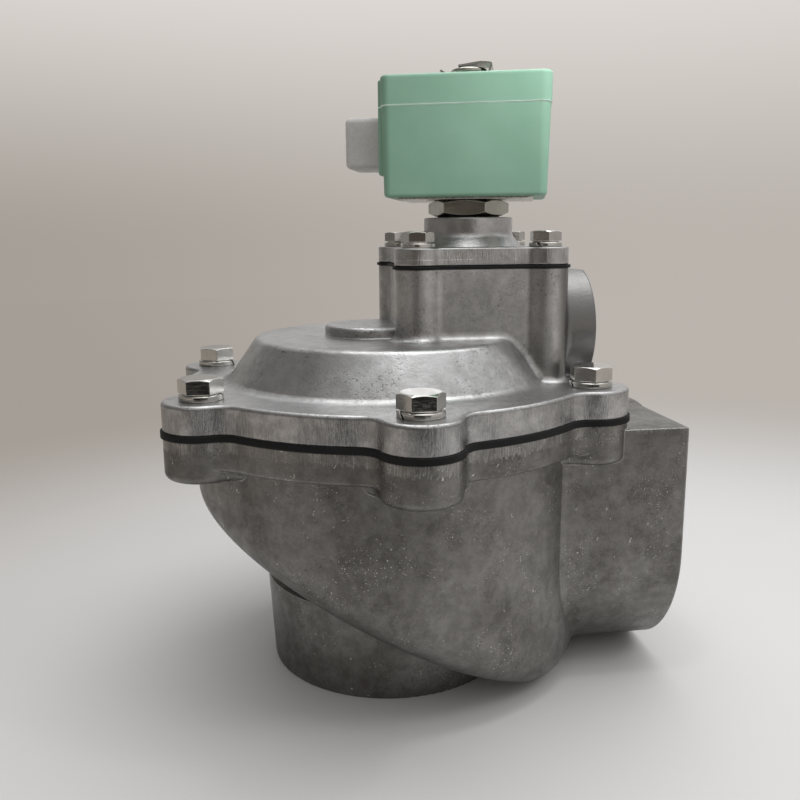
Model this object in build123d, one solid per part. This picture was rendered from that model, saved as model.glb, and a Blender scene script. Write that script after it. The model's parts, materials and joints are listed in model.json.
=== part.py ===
from build123d import *
import math
import os

# A right-angle pulse valve with a built-in pilot stage. Millimetres, +Z up.
# The outlet, the seat and the main diaphragm share the Z axis, with Z = 0 at the outlet spigot's face.
# The inlet opens towards +X, and the pilot stage and the coil stand on their own vertical axis.

# Joint planes
seal_z = 97.7
main_diaphragm_t = 2.1
cover_flange_t = 9.6
pilot_seal_z = 150.0
pilot_diaphragm_t = 1.0
bonnet_t = 6.2

# Bolted flanges
bolt_count = 6
bolt_start_deg = -90.0
bolt_out = 0.5
flange_overhang = 4.0
flange_lobe_r = 13.0
flange_blend_r = 9.0
flange_edge_r = 1.2
body_flange_t = 10.2
body_boss_h = 14.2
body_boss_edge_r = 2.5
body_boss_in = 0.5
tapped_floor = 2.5
diaphragm_proud = 0.7

# Bowl, spigot and seat tube
bowl_r = 72.5
bowl_wall = 6.0
bowl_slope = 0.564
bowl_floor_z = 24.9
bowl_low_z = 1.2
bowl_edge_r = 12.0
bowl_turn_r = 30.0
spigot_r = 46.3
spigot_draft_deg = 3.0
spigot_h = 34.0
spigot_edge_r = 0.8
tube_r = 42.0
tube_edge_r = 2.0
orifice_r = 33.0
seat_z = 90.0
seat_lip_r = 37.5
seat_lip_h = 4.0
seat_root_r = 1.0
seat_edge_r = 0.8
port_major_r = 37.6
port_minor_r = 36.1
port_depth = 24.0
port_run_out = 2.0

# Inlet block
inlet_x = 100.0
inlet_half_w = 47.5
inlet_axis_z = 48.6
inlet_top_z = 95.0
inlet_bore_r = 33.0
inlet_blend_r = 5.0
blend_sink = 0.08
blend_root = 3.0
blend_steps = 7
inlet_edge = 0.5
passage_gap = 4.0
foot_x = 88.5
foot_len = 10.0
foot_w = 16.0
foot_root = 2.0

# Cover dome
clamp_w = 10.5
dome_foot_in = 1.7
dome_lean = 11.1
dome_top_z = 125.0
dome_wall = 6.0
dome_foot_fillet = 5.0
dome_rim_fillet = 3.0
dome_inner_r = 3.0
clamp_land_h = 4.0
clamp_edge_r = 2.0
tongue_r = 17.0
tongue_x = -6.5
tongue_h = 4.0
tongue_edge_r = 1.5

# Pilot stage
pilot_x = 31.1
pilot_bolt_half = 23.0
pilot_corner_r = 8.2
pilot_waist = 3.0
pilot_blend_r = 4.0
pilot_foot_fillet = 3.0
pilot_bore_r = 19.5
pilot_floor_z = 138.0
nozzle_r = 11.5
nozzle_bore_r = 8.5
nozzle_seat_z = 147.5
vent_hole_r = 3.5
vent_spread_deg = 50.0
exhaust_x = 74.0
exhaust_z = 126.4
exhaust_r = 23.0
exhaust_flat_z = 148.2
exhaust_port_r = 15.2
exhaust_port_depth = 14.0

# Bonnet
bonnet_edge_r = 0.6
boss_r = 16.5
boss_flare_r = 20.0
boss_flare_h = 4.2
boss_flare_fillet = 3.0
boss_h = 10.6
boss_edge_r = 0.6
bonnet_recess_h = 4.0
spring_pocket_r = 8.0
spring_pocket_h = 4.0
socket_r = 10.0
socket_depth = 6.4
pilot_orifice_r = 1.3
core_seat_r = 3.0
core_seat_h = 1.6
core_seat_edge_r = 0.4
bleed_r = 0.9

# Moving discs
main_disc_r = 41.0
main_disc_t = 3.5
main_disc_bevel = 1.5
main_disc_edge_r = 0.6
main_plate_r = 39.0
main_plate_t = 3.0
main_plate_bevel = 2.0
main_plate_rim = 1.4
main_plate_sheet_t = 1.2
main_plate_edge_r = 0.5
main_plate_root_r = 0.8
web_inner_r = 43.0
web_outer_in = 1.5
web_land = 2.0
main_bleed_r = 1.2
pilot_disc_r = 12.0
pilot_disc_t = 1.5
pilot_plate_r = 11.0
pilot_plate_t = 1.2
pilot_plate_edge = 0.3
pilot_web_inner_r = 13.5
pilot_web_outer_r = 18.5
pilot_bleed_r = 0.6
rivet_r = 2.5
rivet_head_r = 4.5
rivet_head_h = 1.2
rivet_edge_r = 0.8
clamp_bolt_r = 5.0
clamp_bolt_af = 17.0
clamp_bolt_head = 5.5
clamp_nut_h = 6.0
clamp_thread_out = 1.5

# Springs
main_spring = {"r": 22.0, "wire": 2.2, "turns": 3.5}
pilot_spring = {"r": 6.2, "wire": 1.0, "turns": 4.0}
core_spring = {"r": 3.2, "wire": 0.6, "turns": 6.0}
spring_groove = 1.0
spring_clear = 0.05

# Solenoid
gasket_t = 0.5
gasket_r = 11.5
gasket_clear = 0.2
base_af = 26.0
base_hex_h = 5.8
base_turn_deg = 3.5
base_spigot_h = 5.5
core_tube_r = 7.5
core_bore_r = 6.6
core_fit = 0.08
core_len = 22.6
core_edge = 0.4
core_pocket_r = 4.2
core_pocket_h = 8.0
core_gap = 2.6
core_seal_r = 3.8
core_seal_t = 2.0
core_seal_out = 0.4
coil_turn_deg = -16.7
coil_w = 59.2
coil_d = 44.8
coil_h = 41.2
coil_corner_r = 3.5
coil_edge_r = 1.2
coil_step_h = 10.2
coil_step = 0.25
coil_draft_deg = 1.4
coil_fit = 0.08
yoke_t = 0.7
yoke_w = 48.0
yoke_d = 37.0
yoke_corner_r = 2.0
face_w = 34.0
face_h = 32.3
face_z = 182.6
face_t = 1.4
face_edge_r = 0.9
plug_end_z = 220.4
groove_z = 217.6
groove_h = 1.4
groove_r = 4.6
clip_w = 10.0
clip_t = 0.7
clip = {"toe_x": -10.0, "toe_lift": 1.4, "heel_x": -8.0, "bend_x": 7.2, "reach": 8.6, "back_lift": 0.6,
        "crest_x": 4.5, "crest_lift": 1.0, "tail_x": -3.6, "fold_r": 0.8}

# Terminals and their cap
spade_w = 6.3
spade_t = 0.8
spade_len = 9.5
spade_root = 4.0
spade_gap = 9.0
spade_lift = 1.5
spade_drop = 5.5
cap_w = 22.0
cap_h = 18.0
cap_len = 13.0
cap_z = 194.5
cap_wall = 1.2
cap_corner_r = 2.0

# Fasteners: M8 on the cover, M6 on the bonnet
m8 = {"r": 4.0, "af": 13.0, "head": 5.3, "washer_r": 7.4, "washer_t": 2.0, "length": 25.0}
m6 = {"r": 3.0, "af": 10.0, "head": 4.0, "washer_r": 5.9, "washer_t": 1.6, "length": 18.0}
m8_turns_deg = (29.0, 51.9, 5.0, 21.0, 4.3, 27.0)
m8_splits_deg = (-60.0, -141.0, 20.0, 100.0, -176.0, 137.0)
m6_turns_deg = (49.4, 24.0, 52.6, 4.1)
m6_splits_deg = (160.0, -131.0, 20.0, 75.0)
washer_split = 1.0
washer_split_deg = 35.0
washer_edge_r = 0.4
washer_face_t = 0.4
thread_chamfer = 0.8
hex_face_part = 0.95
hex_crown_deg = 25.0
hole_clear = 0.4
thread_clear = 0.05
fit_clear = 0.3
cut_past = 1.0

# Radii that follow from the bowl
flange_rim_r = bowl_r + flange_overhang
bolt_circle_r = flange_rim_r + bolt_out
clamp_r = bowl_r - clamp_w
dome_foot_r = clamp_r - dome_foot_in
dome_rim_r = dome_foot_r - dome_lean
web_outer_r = clamp_r - web_outer_in

# Levels that follow from the sizes above
cover_z = seal_z + main_diaphragm_t
cover_top_z = cover_z + cover_flange_t
bonnet_z = pilot_seal_z + pilot_diaphragm_t
bonnet_top_z = bonnet_z + bonnet_t
boss_top_z = bonnet_top_z + boss_h
base_z = boss_top_z + gasket_t
base_foot_z = boss_top_z - base_spigot_h
base_top_z = base_z + base_hex_h
coil_z = base_top_z + yoke_t
coil_top_z = coil_z + coil_h
disc_top_z = seat_z + main_disc_t
plate_z = disc_top_z + main_diaphragm_t
plate_top_z = plate_z + main_plate_t
ceiling_z = dome_top_z - dome_wall
pilot_disc_top_z = nozzle_seat_z + pilot_disc_t
pilot_plate_z = pilot_disc_top_z + pilot_diaphragm_t
pilot_plate_top_z = pilot_plate_z + pilot_plate_t
recess_z = bonnet_z + bonnet_recess_h
pocket_z = recess_z + spring_pocket_h
socket_z = boss_top_z - socket_depth
core_seat_z = socket_z + core_seat_h
core_z = core_seat_z + core_seal_out
core_top_z = core_z + core_len
plug_z = core_top_z + core_gap
pilot = (pilot_x, 0.0)


def rod(r, z0, z1, at=(0.0, 0.0)):
    return Pos(at[0], at[1], z0) * extrude(Circle(r), z1 - z0)


def ring(outer_r, inner_r, z0, z1, at=(0.0, 0.0)):
    return Pos(at[0], at[1], z0) * extrude(Circle(outer_r) - Circle(inner_r), z1 - z0)


def plate(sketch, z0, z1):
    return Pos(0, 0, z0) * extrude(sketch, z1 - z0)


def outline_face(plane, corners):
    # A closed outline of (across, up) points. A third number rounds that corner.
    points = [corner[:2] for corner in corners]
    radii = [corner[2] if len(corner) > 2 else 0.0 for corner in corners]
    return make_face(plane * FilletPolyline(*points, radius=radii, close=True))


def turned(corners, at=(0.0, 0.0)):
    return Pos(at[0], at[1], 0) * revolve(outline_face(Plane.XZ, corners), Axis.Z)


def bolt_places():
    step = 360.0 / bolt_count
    return [Rot(0, 0, bolt_start_deg + i * step) * Pos(bolt_circle_r, 0) for i in range(bolt_count)]


def pilot_places():
    signs = ((-1, -1), (1, -1), (1, 1), (-1, 1))
    return [Pos(pilot_x + sx * pilot_bolt_half, sy * pilot_bolt_half) for sx, sy in signs]


def lobed_outline(rim_r, grow=0.0):
    # A round flange with a lobe at each bolt. The circles' seams lie inside, clear of the blends.
    outline = Rot(0, 0, bolt_start_deg) * Circle(rim_r + grow)
    for place in bolt_places():
        outline += place * Rot(0, 0, 180) * Circle(flange_lobe_r + grow)
    return fillet(outline.vertices(), flange_blend_r - grow)


def pilot_outline(grow=0.0):
    # A square with a round ear at each corner bolt, and sides set back between the ears.
    side = 2 * (pilot_bolt_half + pilot_corner_r - pilot_waist + grow)
    outline = Pos(pilot_x, 0) * Rectangle(side, side)
    for i, place in enumerate(pilot_places()):
        outline += place * Rot(0, 0, 45 + 90 * i) * Circle(pilot_corner_r + grow)
    return fillet(outline.vertices(), pilot_blend_r)


def sloped_bowl(r, edge_r, rise):
    # An upright cylinder whose floor falls towards the inlet, then runs level, with a rounded rim.
    low = bowl_low_z + rise
    high_x = -r - cut_past
    high = bowl_floor_z + rise - bowl_slope * high_x
    turn_x = (bowl_floor_z + rise - low) / bowl_slope
    side = outline_face(Plane.XZ, [(high_x, high), (turn_x, low, bowl_turn_r), (-high_x, low),
                                   (-high_x, seal_z), (high_x, seal_z)])
    bowl = rod(r, low, seal_z) & extrude(side, -high_x, both=True)
    rim = [e for e in bowl.edges() if e.geom_type != GeomType.LINE and e.center().Z < seal_z - edge_r]
    return fillet(rim, edge_r)


def inlet_block():
    # Round below, flat on top.
    mid = (inlet_axis_z + inlet_top_z) / 2
    profile = Pos(0, inlet_axis_z) * Circle(inlet_half_w)
    profile += Pos(0, mid) * Rectangle(2 * inlet_half_w, inlet_top_z - inlet_axis_z)
    profile &= Pos(0, inlet_top_z - inlet_half_w) * Rectangle(4 * inlet_half_w, 2 * inlet_half_w + 2)
    block = extrude(Plane.YZ * profile, inlet_x)
    face_edges = block.edges().filter_by(Plane.YZ).group_by(Axis.X)[-1]
    return chamfer(face_edges, inlet_edge)


def blend_section(z):
    # The blend between the bowl and the block's side, in plan at one level, sunk a little into both.
    drop = max(bowl_low_z + bowl_edge_r - z, 0.0)
    wall_r = bowl_r - bowl_edge_r + math.sqrt(bowl_edge_r ** 2 - drop ** 2)
    side = math.sqrt(inlet_half_w ** 2 - max(inlet_axis_z - z, 0.0) ** 2)
    centre_y = side + inlet_blend_r
    centre_x = math.sqrt((wall_r + inlet_blend_r) ** 2 - centre_y ** 2)
    turn = math.atan2(centre_y, centre_x)
    on_bowl = Vector((wall_r - blend_sink) * math.cos(turn), (wall_r - blend_sink) * math.sin(turn))
    on_block = Vector(centre_x, side - blend_sink)
    hollow = math.radians(225.0) + turn / 2
    middle = Vector(centre_x + inlet_blend_r * math.cos(hollow), centre_y + inlet_blend_r * math.sin(hollow))
    root = Vector(math.sqrt(wall_r ** 2 - side ** 2) - blend_root, side - blend_root)
    outline = [ThreePointArc(on_bowl, middle, on_block), Line(on_block, root), Line(root, on_bowl)]
    return Pos(0, 0, z) * make_face(outline)


def inlet_blend():
    # It follows the crease down round the block, and fades out where the block meets the bowl's rim.
    start = bowl_low_z + bowl_edge_r / 2
    step = (inlet_axis_z - start) / blend_steps
    low = loft([blend_section(start + i * step) for i in range(blend_steps + 1)])
    high = extrude(blend_section(inlet_axis_z), seal_z - body_flange_t / 2 - inlet_axis_z)
    side = low + high
    return side + mirror(side, Plane.XZ)


def body_flange():
    flange = plate(lobed_outline(flange_rim_r), seal_z - body_flange_t, seal_z)
    flange = fillet(flange.edges().group_by(Axis.Z)[0], flange_edge_r)
    bosses = plate(lobed_outline(bowl_r - body_boss_in), seal_z - body_boss_h, seal_z - body_flange_t / 2)
    return flange + fillet(bosses.edges().group_by(Axis.Z)[0], body_boss_edge_r)


def inlet_bore():
    # Bored to the thread's minor size, with its mouth opened to the major size, then a plain passage.
    mouth = port_major_r - port_minor_r
    passage_len = inlet_x - tube_r - passage_gap
    bore = turned([(0, -cut_past), (port_major_r + cut_past, -cut_past), (port_minor_r, mouth),
                   (port_minor_r, port_depth), (inlet_bore_r, port_depth + port_run_out),
                   (inlet_bore_r, passage_len), (0, passage_len)])
    return Pos(inlet_x, 0, inlet_axis_z) * Rot(0, -90, 0) * bore


def valve_body():
    spigot_taper = math.tan(math.radians(spigot_draft_deg))
    spigot = turned([(0, 0), (spigot_r, 0, spigot_edge_r), (spigot_r + spigot_h * spigot_taper, spigot_h),
                     (0, spigot_h)])
    foot = Pos(foot_x + foot_len / 2, 0, 0) * extrude(Rectangle(foot_len, foot_w), bowl_low_z + foot_root)
    outside = sloped_bowl(bowl_r, bowl_edge_r, 0.0) + inlet_block() + inlet_blend()
    outside += body_flange() + spigot + foot
    chamber = sloped_bowl(bowl_r - bowl_wall, bowl_edge_r - bowl_wall, bowl_wall)
    seat_tube = turned([(0, 0), (tube_r, 0), (tube_r, seat_z - seat_lip_h - tube_edge_r, tube_edge_r),
                        (seat_lip_r, seat_z - seat_lip_h, seat_root_r), (seat_lip_r, seat_z, seat_edge_r),
                        (0, seat_z)])
    body = outside - (chamber - seat_tube)
    body -= rod(orifice_r, -cut_past, seat_z + cut_past)
    body -= rod(seat_lip_r + cut_past, seat_z, seal_z + cut_past)
    body -= turned([(0, -cut_past), (port_minor_r, -cut_past), (port_minor_r, port_depth),
                    (orifice_r, port_depth + port_run_out), (0, port_depth + port_run_out)])
    body -= inlet_bore() - rod(tube_r, 0.0, seal_z)
    for place in bolt_places():
        body -= place * rod(m8["r"] + thread_clear, seal_z - body_boss_h + tapped_floor, seal_z + cut_past)
    return body


def foot_blend(wall_r, lean_deg, r, at=(0.0, 0.0)):
    # A turned blend from the flange's top up a round wall that leans in, sunk a little into both.
    lean = math.radians(lean_deg)
    run = r / math.tan((math.pi / 2 + lean) / 2)
    nearest = 1.0 - r / math.hypot(run, r)
    low = Vector(wall_r + run, 0, cover_top_z - blend_sink)
    high = Vector(wall_r - run * math.sin(lean) - blend_sink * math.cos(lean), 0,
                  cover_top_z + run * math.cos(lean) - blend_sink * math.sin(lean))
    middle = Vector(wall_r + run * nearest, 0, cover_top_z + r * nearest)
    root = Vector(wall_r - blend_root, 0, cover_top_z - blend_root / 2)
    outline = [ThreePointArc(low, middle, high), Line(high, root), Line(root, low)]
    return Pos(at[0], at[1], 0) * revolve(make_face(outline), Axis.Z)


def pilot_foot_edges(cover):
    # Where the pilot housing's wall runs down over the dome's top and slope.
    wall = pilot_outline().wire()
    found = []
    for edge in cover.edges():
        points = [edge @ t for t in (0.0, 0.25, 0.5, 0.75, 1.0)]
        on_wall = all(wall.distance_to(Vector(p.X, p.Y, 0)) < blend_sink / 8 for p in points)
        upright = abs((edge % 0.5).Z) > 0.999
        in_reach = edge.center().Z > cover_top_z + blend_sink and max(p.Z for p in points) < dome_top_z + 1.0
        if on_wall and in_reach and not upright:
            found.append(edge)
    return found


def cover_outside():
    flange = plate(lobed_outline(flange_rim_r), cover_z, cover_top_z)
    outside = fillet(flange.edges().group_by(Axis.Z)[-1], flange_edge_r)
    skirt_r = flange_rim_r - flange_edge_r
    outside += turned([(0, cover_z), (skirt_r, cover_z), (skirt_r, cover_top_z), (dome_foot_r, cover_top_z),
                       (dome_rim_r, dome_top_z, dome_rim_fillet), (0, dome_top_z)])
    outside += plate(pilot_outline(), cover_z + 1.0, pilot_seal_z)
    boss = Pos(0, 0, exhaust_z) * Rot(0, 90, 0) * rod(exhaust_r, pilot_x, exhaust_x)
    boss &= Pos(exhaust_x / 2, 0) * plate(Rectangle(2 * exhaust_x, 3 * exhaust_r), cover_z, exhaust_flat_z)
    outside += boss
    outside = fillet(pilot_foot_edges(outside), pilot_foot_fillet)
    dome_lean_deg = math.degrees(math.atan2(dome_lean, dome_top_z - cover_top_z))
    outside += foot_blend(dome_foot_r, dome_lean_deg, dome_foot_fillet)
    for y in (-pilot_bolt_half, pilot_bolt_half):
        outside += foot_blend(pilot_corner_r, 0.0, pilot_foot_fillet, (pilot_x + pilot_bolt_half, y))
    tongue = Pos(tongue_x, 0) * Circle(tongue_r)
    tongue += Pos((tongue_x + pilot_x) / 2, 0) * Rectangle(pilot_x - tongue_x, 2 * tongue_r)
    tongue = plate(tongue, dome_top_z - 1.0, dome_top_z + tongue_h)
    return outside + fillet(tongue.edges().group_by(Axis.Z)[-1], tongue_edge_r)


def main_cover():
    cover = cover_outside()
    # Inside the dome, with a groove in the ceiling for the main spring
    groove_in = main_spring["r"] - main_spring["wire"]
    groove_out = main_spring["r"] + main_spring["wire"]
    cover -= turned([(0, cover_z - cut_past), (clamp_r, cover_z - cut_past),
                     (clamp_r, cover_z + clamp_land_h, clamp_edge_r),
                     (dome_rim_r - dome_wall, ceiling_z, dome_inner_r), (0, ceiling_z)])
    cover -= ring(groove_out, groove_in, ceiling_z - cut_past, ceiling_z + spring_groove)
    # Inside the pilot stage: a ring chamber round the nozzle, which turns out to the exhaust port
    cover -= ring(pilot_bore_r, nozzle_r, pilot_floor_z, pilot_seal_z + cut_past, pilot)
    cover -= rod(nozzle_r + cut_past, nozzle_seat_z, pilot_seal_z + cut_past, pilot)
    exhaust = Pos(0, 0, exhaust_z) * Rot(0, 90, 0)
    cover -= rod(nozzle_bore_r, exhaust_z, pilot_seal_z, pilot) + exhaust * rod(nozzle_bore_r, pilot_x, exhaust_x)
    cover -= exhaust * rod(exhaust_port_r, exhaust_x - exhaust_port_depth, exhaust_x + cut_past)
    ring_mid = (pilot_bore_r + nozzle_r) / 2
    for turn in (-vent_spread_deg, 0.0, vent_spread_deg):
        place = Pos(pilot_x, 0) * Rot(0, 0, 180 + turn) * Pos(ring_mid, 0)
        cover -= place * rod(vent_hole_r, ceiling_z - cut_past, pilot_floor_z + cut_past)
    for place in bolt_places():
        cover -= place * rod(m8["r"] + hole_clear, cover_z - cut_past, cover_top_z + cut_past)
    hole_end = bonnet_top_z + m6["washer_t"] - m6["length"] - tapped_floor
    for place in pilot_places():
        cover -= place * rod(m6["r"] + thread_clear, hole_end, pilot_seal_z + cut_past)
    return cover


def pilot_bonnet():
    bonnet = plate(pilot_outline(), bonnet_z, bonnet_top_z)
    rims = bonnet.edges().group_by(Axis.Z)
    bonnet = fillet(rims[0] + rims[-1], bonnet_edge_r)
    flare_z = bonnet_top_z + boss_flare_h
    bonnet += turned([(0, bonnet_z + 1.0), (boss_flare_r, bonnet_z + 1.0), (boss_flare_r, bonnet_top_z),
                      (boss_r, flare_z, boss_flare_fillet), (boss_r, boss_top_z, boss_edge_r),
                      (0, boss_top_z)], pilot)
    bonnet -= rod(pilot_bore_r, bonnet_z - cut_past, recess_z, pilot)
    bonnet -= rod(spring_pocket_r, bonnet_z, pocket_z, pilot)
    seat = turned([(0, socket_z - 1.0), (core_seat_r + 1.0, socket_z - 1.0), (core_seat_r + 1.0, socket_z),
                   (core_seat_r, core_seat_z, core_seat_edge_r), (0, core_seat_z)], pilot)
    bonnet -= rod(socket_r, socket_z, boss_top_z + cut_past, pilot) - seat
    bonnet -= rod(pilot_orifice_r, pocket_z - cut_past, core_seat_z + cut_past, pilot)
    bleed = Pos(pilot_x, 0, socket_z + bleed_r) * Rot(-90, 0, 0)
    bonnet -= bleed * rod(bleed_r, socket_r - cut_past, boss_flare_r + cut_past)
    for place in pilot_places():
        bonnet -= place * rod(m6["r"] + hole_clear, bonnet_z - cut_past, bonnet_top_z + cut_past)
    return bonnet


def diaphragm(outline, z0, t, drop, web_in, web_out, centre, hole_r, bleed_hole_r):
    # A flat clamped rim and a flat middle that lies lower, joined by a sloping web.
    low = z0 - drop
    end = web_out + web_land
    middle = [(0, low), (web_in, low, 2 * t), (web_out, z0, 2 * t), (end, z0), (end, z0 + t),
              (web_out, z0 + t, 2 * t), (web_in, low + t, 2 * t), (0, low + t)]
    sheet = plate(outline, z0, z0 + t) - rod(end - web_land / 2, z0 - cut_past, z0 + t + cut_past, centre)
    sheet += turned(middle, centre)
    sheet -= rod(hole_r, low - cut_past, z0 + t, centre)
    bleed_x = centre[0] - (web_in + web_out) / 2
    return sheet - rod(bleed_hole_r, low - cut_past, z0 + t + cut_past, (bleed_x, 0.0))


def main_diaphragm():
    sheet = diaphragm(lobed_outline(flange_rim_r, diaphragm_proud), seal_z, main_diaphragm_t,
                      seal_z - disc_top_z, web_inner_r, web_outer_r, (0.0, 0.0),
                      clamp_bolt_r + thread_clear, main_bleed_r)
    for place in bolt_places():
        sheet -= place * rod(m8["r"] + hole_clear, seal_z - cut_past, cover_z + cut_past)
    return sheet


def pilot_diaphragm():
    sheet = diaphragm(pilot_outline(diaphragm_proud), pilot_seal_z, pilot_diaphragm_t,
                      pilot_seal_z - pilot_disc_top_z, pilot_web_inner_r, pilot_web_outer_r, pilot,
                      rivet_r + thread_clear, pilot_bleed_r)
    for place in pilot_places():
        sheet -= place * rod(m6["r"] + hole_clear, pilot_seal_z - cut_past, bonnet_z + cut_past)
    return sheet


def main_seat_disc():
    hole = clamp_bolt_r + thread_clear
    edge_z = seat_z + main_disc_bevel
    return turned([(hole, seat_z), (main_disc_r - main_disc_bevel, seat_z, main_disc_edge_r),
                   (main_disc_r, edge_z, main_disc_edge_r), (main_disc_r, disc_top_z), (hole, disc_top_z)])


def spring_out(spring):
    return spring["r"] + spring["wire"] / 2


def main_support_plate():
    # A dished plate: a raised rim outside, and a raised middle inside the spring's seat.
    hole = clamp_bolt_r + thread_clear
    dish_z = plate_z + main_plate_sheet_t
    rim_in = main_plate_r - main_plate_rim
    step = main_plate_root_r * 2
    hub_r = spring_out(main_spring) + 1.0
    return turned([(hole, plate_z), (main_plate_r - main_plate_bevel, plate_z, main_plate_root_r),
                   (main_plate_r, plate_z + main_plate_bevel, main_plate_edge_r), (main_plate_r, plate_top_z),
                   (rim_in, plate_top_z), (rim_in - step, dish_z, main_plate_root_r),
                   (hub_r + step, dish_z, main_plate_root_r), (hub_r, plate_top_z, main_plate_edge_r),
                   (hole, plate_top_z)])


def hexagon(af, h, crown):
    # A hexagonal head on Z = 0. crown says which ends are turned down to a round face.
    head = extrude(RegularPolygon(af / 2, 6, major_radius=False), h)
    wide_r = af / 2 / math.cos(math.radians(30)) + cut_past
    face_r = af / 2 * hex_face_part
    fall = (wide_r - face_r) * math.tan(math.radians(hex_crown_deg))
    low = [(wide_r, fall), (face_r, 0)] if "low" in crown else [(wide_r, 0)]
    return head & turned([(0, h), (face_r, h), (wide_r, h - fall)] + low + [(0, 0)])


def main_disc_bolt():
    shank_end = plate_top_z + clamp_nut_h + clamp_thread_out
    head = Pos(0, 0, seat_z) * Rot(180, 0, 0) * hexagon(clamp_bolt_af, clamp_bolt_head, "top")
    shank = rod(clamp_bolt_r, seat_z - 1.0, shank_end)
    return head + chamfer(shank.edges().group_by(Axis.Z)[-1], thread_chamfer)


def main_disc_nut():
    nut = Pos(0, 0, plate_top_z) * hexagon(clamp_bolt_af, clamp_nut_h, "low top")
    nut_top_z = plate_top_z + clamp_nut_h
    return nut - rod(clamp_bolt_r + thread_clear, plate_top_z - cut_past, nut_top_z + cut_past)


def pilot_disc():
    return ring(pilot_disc_r, rivet_r + thread_clear, nozzle_seat_z, pilot_disc_top_z, pilot)


def pilot_support_plate():
    disc = ring(pilot_plate_r, rivet_r + thread_clear, pilot_plate_z, pilot_plate_top_z, pilot)
    return chamfer(disc.edges().group_by(Axis.Z)[-1].sort_by(SortBy.LENGTH)[-1:], pilot_plate_edge)


def pilot_rivet():
    low = nozzle_seat_z - rivet_head_h
    high = pilot_plate_top_z + rivet_head_h
    return turned([(0, low), (rivet_head_r, low, rivet_edge_r), (rivet_head_r, nozzle_seat_z),
                   (rivet_r, nozzle_seat_z), (rivet_r, pilot_plate_top_z), (rivet_head_r, pilot_plate_top_z),
                   (rivet_head_r, high, rivet_edge_r), (0, high)], pilot)


def coil_spring(spring, z0, z1, at=(0.0, 0.0)):
    # Round wire on a helix, from seat to seat, touching neither.
    wire = spring["wire"] / 2
    rise = z1 - z0 - spring["wire"] - 2 * spring_clear
    path = Pos(at[0], at[1], z0 + wire + spring_clear) * Helix(rise / spring["turns"], rise, spring["r"])
    return sweep(Plane(path @ 0, z_dir=path % 0) * Circle(wire), path)


def solenoid_base():
    base = Pos(pilot_x, 0, base_z) * Rot(0, 0, base_turn_deg) * hexagon(base_af, base_hex_h, "low top")
    base += rod(socket_r - thread_clear, base_foot_z, base_z + 1.0, pilot)
    return base - rod(core_tube_r + thread_clear, socket_z, base_top_z + cut_past, pilot)


def base_gasket():
    return ring(gasket_r, socket_r + gasket_clear, boss_top_z, base_z, pilot)


def core_tube():
    return ring(core_tube_r, core_bore_r, base_foot_z, coil_top_z + fit_clear, pilot)


def plug_nut():
    plug_r = core_bore_r - thread_clear
    end = groove_z + groove_h
    return turned([(0, plug_z), (plug_r, plug_z), (plug_r, groove_z), (groove_r, groove_z), (groove_r, end),
                   (plug_r, end), (plug_r, plug_end_z, thread_chamfer), (0, plug_end_z)], pilot)


def plunger_core():
    seal_top = core_z + core_seal_t - core_seal_out
    core = rod(core_bore_r - core_fit, core_z, core_top_z, pilot)
    core = chamfer(core.edges().group_by(Axis.Z)[0] + core.edges().group_by(Axis.Z)[-1], core_edge)
    core -= rod(core_seal_r + thread_clear, core_z - cut_past, seal_top, pilot)
    return core - rod(core_pocket_r, core_top_z - core_pocket_h, core_top_z + cut_past, pilot)


def core_seal():
    return rod(core_seal_r, core_seat_z, core_seat_z + core_seal_t, pilot)


def coil_place(z):
    return Pos(pilot_x, 0, z) * Rot(0, 0, coil_turn_deg)


def rounded_block(w, d, z0, z1, corner_r, taper=0.0):
    return Pos(0, 0, z0) * extrude(RectangleRounded(w, d, corner_r), z1 - z0, taper=taper)


def face_side():
    # The connector's side of the coil, seen square on: X runs away from the coil, Z up.
    return coil_place(0.0) * Rot(0, 0, 180)


def coil():
    step_z = coil_top_z - coil_step_h
    upper = rounded_block(coil_w, coil_d, step_z, coil_top_z, coil_corner_r)
    upper = fillet(upper.edges().group_by(Axis.Z)[-1], coil_edge_r)
    lower_w = coil_w - 2 * coil_step
    lower_d = coil_d - 2 * coil_step
    lower = Rot(180, 0, 0) * rounded_block(lower_w, lower_d, -step_z, -coil_z, coil_corner_r, coil_draft_deg)
    lower = fillet(lower.edges().group_by(Axis.Z)[0], coil_edge_r)
    pad = Pos(0, 0, face_z) * extrude(Rectangle(face_w, coil_w / 2 + face_t), face_h)
    pad = Rot(0, 0, 90) * Pos(0, (coil_w / 2 + face_t) / 2, 0) * pad
    pad = fillet(pad.faces().sort_by(Axis.X)[0].edges(), face_edge_r)
    block = coil_place(0.0) * (upper + lower + pad)
    block -= rod(core_tube_r + coil_fit, coil_z - cut_past, coil_top_z + cut_past, pilot)
    for slot in spade_boxes(spade_root, 0.0, thread_clear):
        block -= slot
    return block


def spade_boxes(root, reach, clear):
    # Two upright blades side by side and the earth blade lying below them.
    start = coil_w / 2 + face_t - root
    length = root + reach
    middle = Pos(start + length / 2, 0, cap_z + spade_lift)
    thick = spade_t + 2 * clear
    wide = spade_w + 2 * clear
    blades = [middle * Pos(0, y, 0) * Box(length, thick, wide) for y in (-spade_gap / 2, spade_gap / 2)]
    blades.append(middle * Pos(0, 0, -spade_drop) * Box(length, wide, thick))
    return [face_side() * blade for blade in blades]


def spade_terminals():
    return Compound(children=spade_boxes(spade_root - thread_clear, spade_len, 0.0))


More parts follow.
